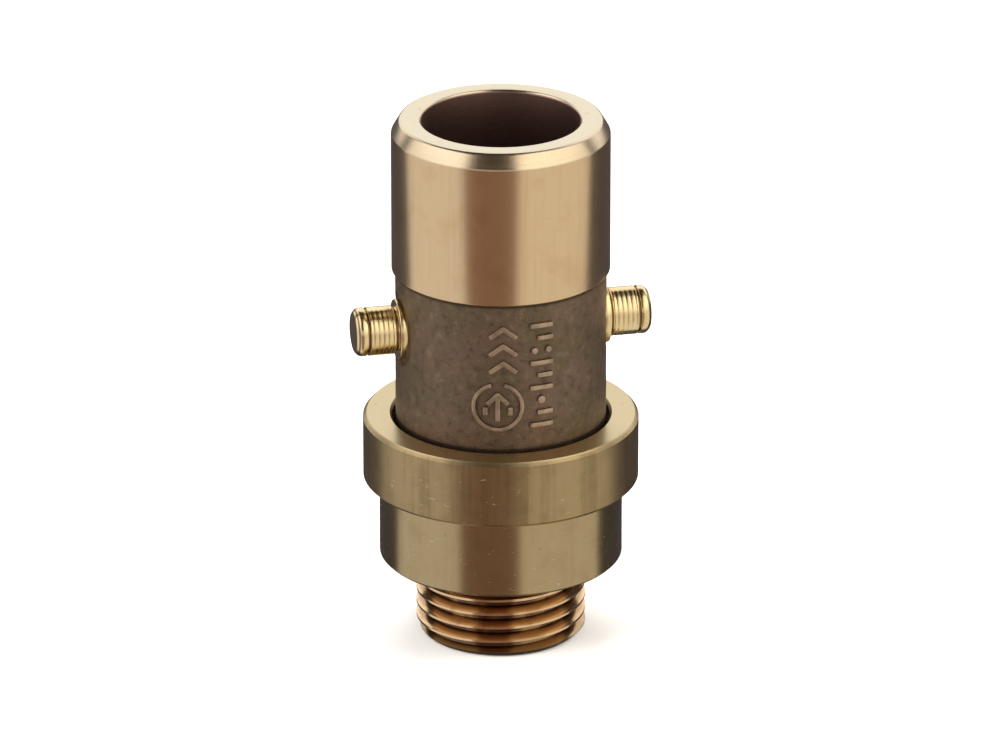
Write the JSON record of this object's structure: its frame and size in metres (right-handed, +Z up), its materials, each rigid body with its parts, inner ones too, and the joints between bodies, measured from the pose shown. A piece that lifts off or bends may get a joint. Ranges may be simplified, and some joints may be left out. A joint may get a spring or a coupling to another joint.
{
  "type": "automatic air vent",
  "caption": "Automatic air vent: threaded hub, union collar, cast body with two bayonet lugs and an open outlet sleeve over a float-operated valve.",
  "frame": {"origin": "centre of the flat end of the inlet spigot, on the axis of the vent", "axes": "+Z up along the axis from the inlet to the open outlet mouth, +X along the right-hand lug, -Y towards the side with the raised marks"},
  "size_m": [0.037, 0.034, 0.0672],
  "materials": {
    "sleeve_brass": "satin-polished turned brass",
    "cast_brass": "sand-cast, dark and matt",
    "turned_brass": "turned, handled and slightly scuffed",
    "lug_brass": "bright turned brass",
    "cartridge_brass": "machined brass",
    "stainless": "bright stainless steel",
    "rubber": "smooth black rubber",
    "float_plastic": "natural moulded plastic",
    "guide_plastic": "dark moulded plastic",
    "slip_plastic": "white low-friction plastic"
  },
  "bodies": {
    "hub": {"inlet_hub": "turned_brass", "inlet_strainer": "stainless", "strainer_snap_ring": "stainless", "thrust_ring": "slip_plastic"},
    "upper_body": {"body_casting": "cast_brass", "body_o_ring": "rubber", "outlet_sleeve": "sleeve_brass", "sleeve_o_ring": "rubber", "lug_left": "lug_brass", "lug_right": "lug_brass", "seat_cartridge": "cartridge_brass", "cartridge_o_ring": "rubber", "nozzle": "cartridge_brass", "lever_pivot_pin": "stainless", "spacer_tube": "guide_plastic", "guide_cage": "guide_plastic", "retaining_snap_ring": "stainless", "check_spring": "stainless"},
    "slip_washer": {"slip_washer": "slip_plastic"},
    "collar": {"union_collar": "turned_brass"},
    "float": {"float_cup": "float_plastic", "float_lid": "float_plastic", "float_link_pin": "stainless"},
    "lever": {"float_lever": "stainless", "valve_pad": "rubber"},
    "check": {"check_disc": "guide_plastic", "check_seal": "rubber"}
  },
  "joints": [
    {"name": "body_swivel", "type": "hinge", "parent": "hub", "child": "upper_body", "pos_m": [0, 0, 0.0254], "axis": [0, 0, 1], "continuous": true},
    {"name": "collar_rise", "type": "slide", "parent": "hub", "child": "slip_washer", "axis": [0, 0, 1], "range_m": [0, 0.004]},
    {"name": "collar_turn", "type": "hinge", "parent": "slip_washer", "child": "collar", "pos_m": [0, 0, 0.0202], "axis": [0, 0, 1], "range_deg": [0, 1440]},
    {"name": "float_rise", "type": "slide", "parent": "upper_body", "child": "float", "axis": [0, 0, 1], "range_m": [0, 0.0035]},
    {"name": "lever_swing", "type": "hinge", "parent": "upper_body", "child": "lever", "pos_m": [-0.0063, 0, 0.0338], "axis": [0, -1, 0], "range_deg": [0, 16.93]},
    {"name": "check_lift", "type": "slide", "parent": "upper_body", "child": "check", "axis": [0, 0, 1], "range_m": [0, 0.0018], "stiffness_N_per_m": 20, "springref_m": -0.001, "deforming": ["check_spring"]}
  ],
  "couplings": [
    {"joint": "collar_rise", "follows": "collar_turn", "m_per_rad": 0.00015915},
    {"joint": "lever_swing", "follows": "float_rise", "rad_per_m": 84.412}
  ]
}
